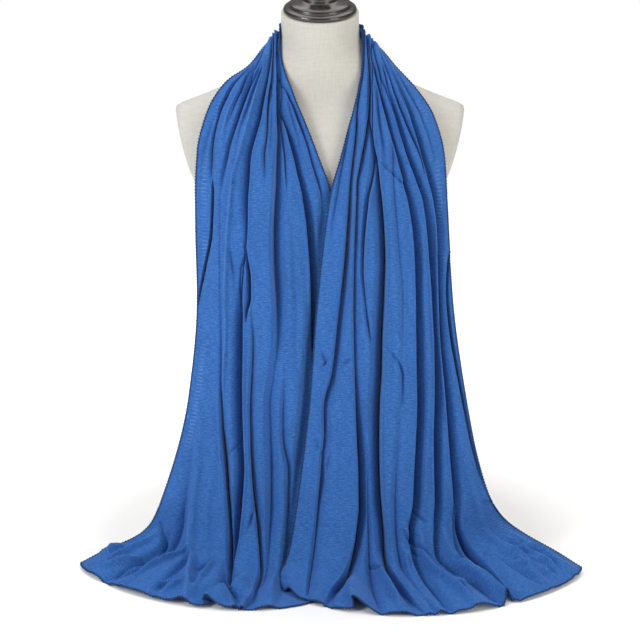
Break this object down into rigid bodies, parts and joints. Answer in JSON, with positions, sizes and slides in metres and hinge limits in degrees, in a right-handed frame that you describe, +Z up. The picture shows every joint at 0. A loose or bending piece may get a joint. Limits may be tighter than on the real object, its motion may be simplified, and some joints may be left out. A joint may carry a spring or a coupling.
{
  "type": "hijab headscarf on dress form",
  "caption": "Gathered jersey headscarf hung round the neck of a limbless dress form, its folded ends falling down the front and spreading on the surface the form stands on.",
  "frame": {"origin": "middle of the dress form's flat foot, on the surface that the form stands on", "axes": "+Z up, the form's front and the cloth's falls face -Y, +X is the viewer's right"},
  "size_m": [0.6753, 0.4087, 0.8006],
  "materials": {
    "linen": "plain woven linen cover, matt off-white",
    "dark_wood": "turned wood, stained nearly black, satin varnish",
    "jersey": "fine viscose jersey knit, mid blue, soft sheen"
  },
  "bodies": {
    "root": {"form_torso": "linen", "form_arm_cap_left": "linen", "form_arm_cap_right": "linen", "form_neck_cap": "dark_wood", "scarf_nape": "jersey", "scarf_left_fall": "jersey", "scarf_right_fall": "jersey"}
  },
  "joints": []
}
